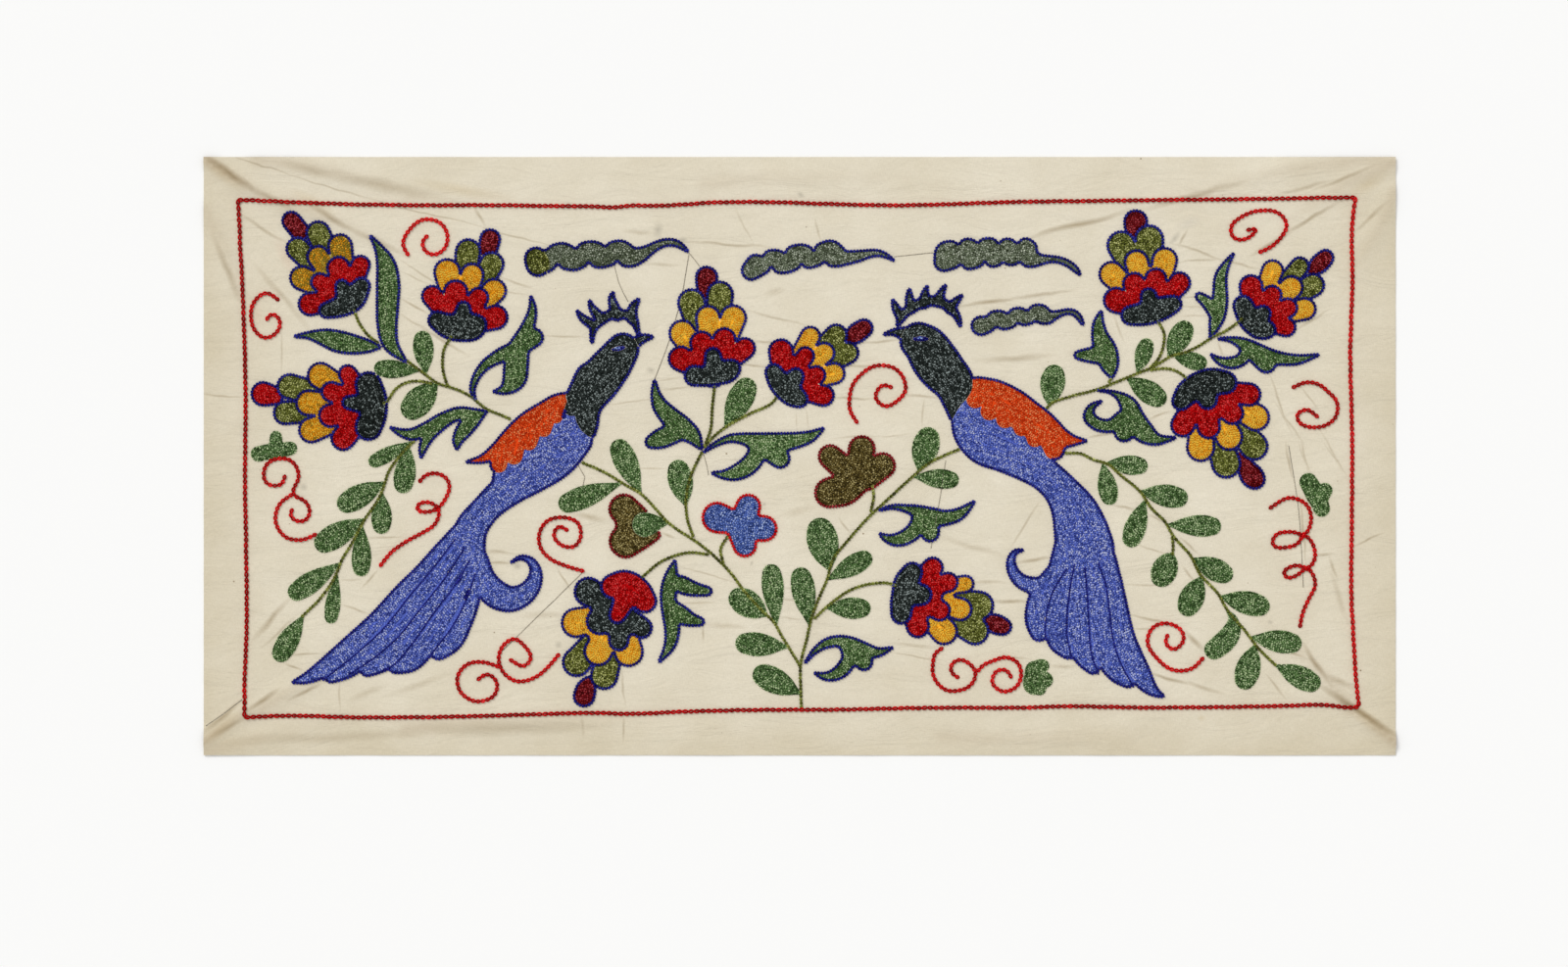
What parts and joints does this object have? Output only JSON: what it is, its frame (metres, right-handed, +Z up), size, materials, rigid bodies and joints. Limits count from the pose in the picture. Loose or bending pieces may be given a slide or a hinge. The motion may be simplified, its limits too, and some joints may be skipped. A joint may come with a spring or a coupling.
{
  "type": "suzani table runner",
  "caption": "Flat rectangular cotton table runner, embroidered in silk chain stitch with two birds, flowers, leafy sprays and curls inside a red stitched frame.",
  "frame": {"origin": "on the surface that the cloth lies on, under its middle", "axes": "+X along the runner's length, +Y across it towards the edge that is up in the picture, +Z up through the embroidered face"},
  "size_m": [1, 0.502, 0.0051],
  "materials": {
    "unbleached_cotton": "plain weave, matt",
    "navy_silk": "silk thread, soft gloss",
    "blue_silk": "silk thread, soft gloss",
    "sky_blue_silk": "silk thread, soft gloss",
    "leaf_green_silk": "silk thread, soft gloss",
    "olive_silk": "silk thread, soft gloss",
    "grey_green_silk": "silk thread, soft gloss",
    "bottle_green_silk": "silk thread, soft gloss",
    "gold_silk": "silk thread, soft gloss",
    "red_silk": "silk thread, soft gloss",
    "maroon_silk": "silk thread, soft gloss",
    "brown_silk": "silk thread, soft gloss",
    "orange_silk": "silk thread, soft gloss"
  },
  "bodies": {
    "root": {"ground_cloth": "unbleached_cotton"}
  },
  "joints": []
}
